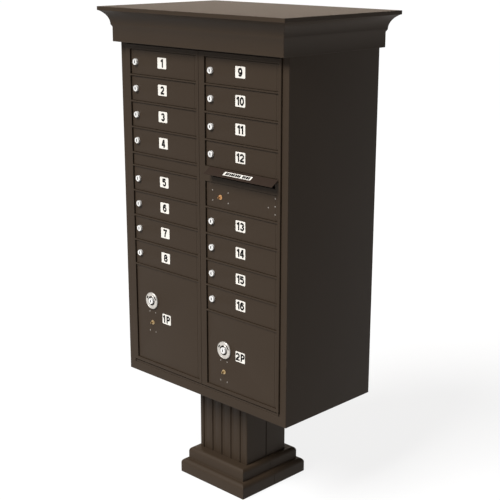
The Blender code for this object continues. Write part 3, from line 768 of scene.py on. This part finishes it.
# ---------------------------------------------------------------- hood
def hood():
    """Bent sheet with a rolled lower lip; its white label carries two groups of plain bars."""
    low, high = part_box("mail_hood")
    y0, top, out, drop = high.y, high.z, high.y - low.y, 0.0185
    sheet, flange = 0.0012, 0.0095               # sheet, and height of the flange on the master door
    slope = Vector((0, -out, -drop)).normalized()
    away = Vector((0, slope.z, -slope.y))
    lip = [(y0 - out + 0.0006, top - drop + 0.0002), (y0 - out, top - drop - 0.0004),
           (y0 - out + 0.0002, top - drop - 0.0010), (y0 - out + 0.0010, top - drop - 0.0011)]
    outline = [(y0, top), *lip, (y0 - sheet - 0.0004, top - 0.0033), (y0 - sheet - 0.0003, top - flange),
               (y0, top - flange)]
    # the hood takes the darker copy of the bronze coat, a painted shade
    stand_in("mail_hood", one(add_prism, outline, low.x, high.x, along_x), HOOD_SHADED_COAT, 0.0003)

    w, h, along, down = 0.1225, 0.0156, 0.1415, 0.0170   # label, and its centre along and down the hood
    bars, widths, step = (8, 4), (0.88, 0.76, 0.84), w / 14.2   # bars in each group, their shares of a step
    turn = Matrix((Vector((1, 0, 0)), -away, -slope)).transposed().to_4x4()
    centre = Vector((low.x + along, y0, top)) + slope * down + away * 0.0001
    plate = one(add_prism, rounded_rect(w, h, 0.0008), -LABEL_T, 0, along_y)
    bm = bmesh.new()
    x = -0.435 * w
    for count in bars:
        for k in range(count):
            add_box(bm, (x, -0.0005, -h * 0.35), (x + step * widths[k % 3], -LABEL_T, h * 0.35))
            x += step
        x += step * 0.6
    for name, mesh, mat in (("hood_label", plate, VINYL), ("hood_label_bars", mesh_of("bars", bm), INK)):
        mesh.transform(Matrix.Translation(centre) @ turn)
        put(name, mesh, mat, NODES["mail_hood"]["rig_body"])


def blank():
    """Filler between doors 4 and 5: front sheet as wide as a door, block behind it, wider rear sheet."""
    low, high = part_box("blank_panel")
    door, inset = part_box("tenant_door_05"), RAIL / 2 + ROW_GAP - TOUCH
    front_t, back_t, lap = 0.0020, 0.0012, (0.0010, 0.0008)   # sheets, and how far the block goes into each
    bottom, top, rear = low.z + inset, high.z - inset, high.y - back_t
    left, axis = door[0].x, axis_point("tenant_door_05").x
    front = one(add_box, (left, low.y, bottom), (high.x, low.y + front_t, top))
    block = one(add_box, (left + TOUCH, low.y + lap[0], bottom + TOUCH),
                (axis - 0.004, rear + lap[1], top - TOUCH))
    back = one(add_box, (low.x, rear, low.z), (axis - 0.005, high.y, high.z))
    stand_in("blank_panel", carve(front, [block, back], "UNION"), BRONZE, 0.0005)


# ---------------------------------------------------------------- the rest of the frame
def keep_cad():
    """CAD pieces whose shape is already right get only a material."""
    for node in ("pedestal_post", "rack_left", "rack_right", "door_rod_left", "door_rod_right"):
        for slot in NODES[node].material_slots:
            slot.material = STEEL


# ---------------------------------------------------------------- floor, light and camera
BACKDROP_R, BACKDROP_H, BACKDROP_T = 50.0, 40.0, 1.0     # pale wall far round the stage
FLOOR_HALF, BOUNCE_DOWN = 60, 0.002              # half side of both floors, and the gap between them
SKY = 0.07                                       # strength of the even light from all round
LENS, SENSOR, SHIFT = 80.70, 36.0, (-0.0041, 0.0246)     # millimetres, and shares of the sensor
CAMERA_AT, CAMERA_AIM, CAMERA_ROLL = (2.63611, -2.67034, 1.87250), (-0.67089, 0.68802, -0.27663), 0.095


def area_light(name, at, target, size, power, colour):
    light = bpy.data.lights.new(name, "AREA")
    light.shape, light.size, light.size_y = "RECTANGLE", size[0], size[1]
    light.energy, light.color = power, colour
    lamp = bpy.data.objects.new(name, light)
    bpy.context.scene.collection.objects.link(lamp)
    lamp.location = at
    lamp.rotation_euler = (Vector(target) - Vector(at)).to_track_quat("-Z", "Y").to_euler()


def sun_light(name, elevation, azimuth, strength, spread):
    """Sun seen from the front at a height and a bearing in degrees, wide enough for soft shadows."""
    light = bpy.data.lights.new(name, "SUN")
    light.energy, light.angle = strength, radians(spread)
    lamp = bpy.data.objects.new(name, light)
    bpy.context.scene.collection.objects.link(lamp)
    e, a = radians(elevation), radians(azimuth)
    towards = Vector((cos(e) * sin(a), -cos(e) * cos(a), sin(e)))
    lamp.rotation_euler = towards.to_track_quat("Z", "Y").to_euler()


def stage_piece(name, mesh, mat):
    mesh.materials.append(mat)
    piece = bpy.data.objects.new(name, mesh)
    bpy.context.scene.collection.objects.link(piece)
    return piece


def grid():
    return one(bmesh.ops.create_grid, x_segments=8, y_segments=8, size=FLOOR_HALF)


def studio():
    """Pale floor and far wall; a second, dimmer floor that only lights the object from below."""
    outside = BACKDROP_R + BACKDROP_T
    ring = [(BACKDROP_R, -1.0), (BACKDROP_R, BACKDROP_H), (outside, BACKDROP_H), (outside, -1.0)]
    floor = stage_piece("floor", grid(), FLOOR)
    floor.visible_diffuse = False
    bounce = stage_piece("bounce", grid(), BOUNCE)
    bounce.location.z = -BOUNCE_DOWN
    bounce.visible_camera = bounce.visible_glossy = False
    backdrop = stage_piece("backdrop", one(add_lathe, ring, 96, along_z, (0, 0), True), BACKDROP)
    backdrop.visible_diffuse = backdrop.visible_glossy = backdrop.visible_shadow = False
    world = bpy.data.worlds.new("studio")
    bpy.context.scene.world = world
    world.use_nodes = True
    sky = world.node_tree.nodes["Background"]
    sky.inputs["Color"].default_value = (1, 1, 1, 1)
    sky.inputs["Strength"].default_value = SKY
    sun_light("key", elevation=48, azimuth=-8, strength=5.66, spread=30)
    area_light("back", at=(-5.0, 6.0, 3.0), target=(0, 0, 1.2), size=(5.0, 3.0), power=122,
               colour=(1.0, 0.84, 0.70))
    bpy.context.scene.view_settings.view_transform = "Standard"


def camera():
    """Long-lens three-quarter view from the right, a little above."""
    data = bpy.data.cameras.new("camera")
    data.lens, data.sensor_width = LENS, SENSOR
    data.shift_x, data.shift_y = SHIFT
    cam = bpy.data.objects.new("camera", data)
    bpy.context.scene.collection.objects.link(cam)
    cam.location = CAMERA_AT
    aim = Vector(CAMERA_AIM).to_track_quat("-Z", "Y")
    cam.rotation_euler = (aim.to_matrix() @ Matrix.Rotation(radians(CAMERA_ROLL), 3, "Z")).to_euler()
    bpy.context.scene.camera = cam


camera()
crown()
column()
base()
cabinet()
master("left")
master("right")
hinge_rods()
tenant_doors()
parcel_doors()
outgoing()
blank()
hood()
keep_cad()
studio()
